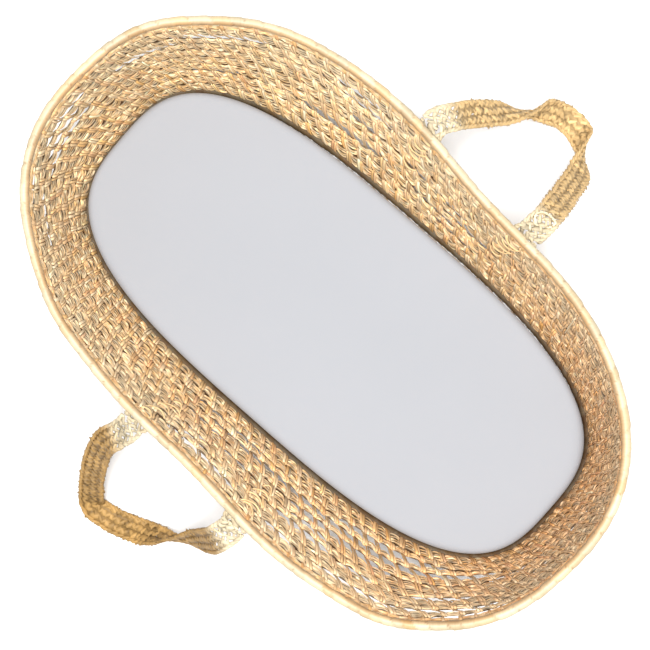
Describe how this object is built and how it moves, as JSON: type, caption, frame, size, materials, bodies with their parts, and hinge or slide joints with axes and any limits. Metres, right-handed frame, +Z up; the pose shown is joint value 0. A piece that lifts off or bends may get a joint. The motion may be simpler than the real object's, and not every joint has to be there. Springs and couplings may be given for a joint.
{
  "type": "moses basket",
  "caption": "Hand-woven oval carrying basket for a baby, with a wrapped rim, two flat woven strap handles and an oval mattress in a fitted sheet.",
  "frame": {"origin": "middle of the base mat underside", "axes": "+X along the basket to its foot end, +Y to its left-hand side, +Z up. With both handles spread out, the part is longest along Y."},
  "size_m": [0.8074, 0.8312, 0.2645],
  "materials": {
    "woven_straw": "matt twisted and plaited leaf",
    "strap_straw": "matt plaited leaf",
    "lacing_straw": "pale twisted leaf cord",
    "rim_straw": "smooth pale wrapped leaf, slightly glossy",
    "cane": "natural cane",
    "foam": "foam pad in a plain cover",
    "cotton": "soft brushed cotton jersey",
    "elastic": "woven elastic"
  },
  "bodies": {
    "basket": {"base_border": "woven_straw", "base_mat": "woven_straw", "handle_tail_left_foot": "strap_straw", "handle_tail_left_head": "strap_straw", "handle_tail_right_foot": "strap_straw", "handle_tail_right_head": "strap_straw", "rim_band": "woven_straw", "rim_cane": "cane", "rim_wrap": "rim_straw", "tail_lacing_left_foot": "lacing_straw", "tail_lacing_left_head": "lacing_straw", "tail_lacing_right_foot": "lacing_straw", "tail_lacing_right_head": "lacing_straw", "wall_course_01": "woven_straw", "wall_course_02": "woven_straw", "wall_course_03": "woven_straw", "wall_course_04": "woven_straw", "wall_course_05": "woven_straw", "wall_course_06": "woven_straw", "wall_course_07": "woven_straw", "wall_course_08": "woven_straw", "wall_course_09": "woven_straw"},
    "handle_left": {"handle_strap_left": "strap_straw", "tie_cord": "lacing_straw"},
    "handle_right": {"handle_strap_right": "strap_straw"},
    "mattress": {"mattress_foam": "foam", "fitted_sheet": "cotton", "sheet_elastic": "elastic"}
  },
  "joints": [
    {"name": "handle_left_swing", "type": "hinge", "parent": "basket", "child": "handle_left", "pos_m": [0.02124, 0.24277, 0.228], "axis": [0.9909, -0.1343, 0], "range_deg": [0, 140]},
    {"name": "handle_right_swing", "type": "hinge", "parent": "basket", "child": "handle_right", "pos_m": [-0.02138, -0.2444, 0.228], "axis": [-0.9979, 0.0644, 0], "range_deg": [0, 140]},
    {"name": "mattress_lift", "type": "slide", "parent": "basket", "child": "mattress", "axis": [0, 0, 1], "range_m": [0, 0.3]}
  ]
}
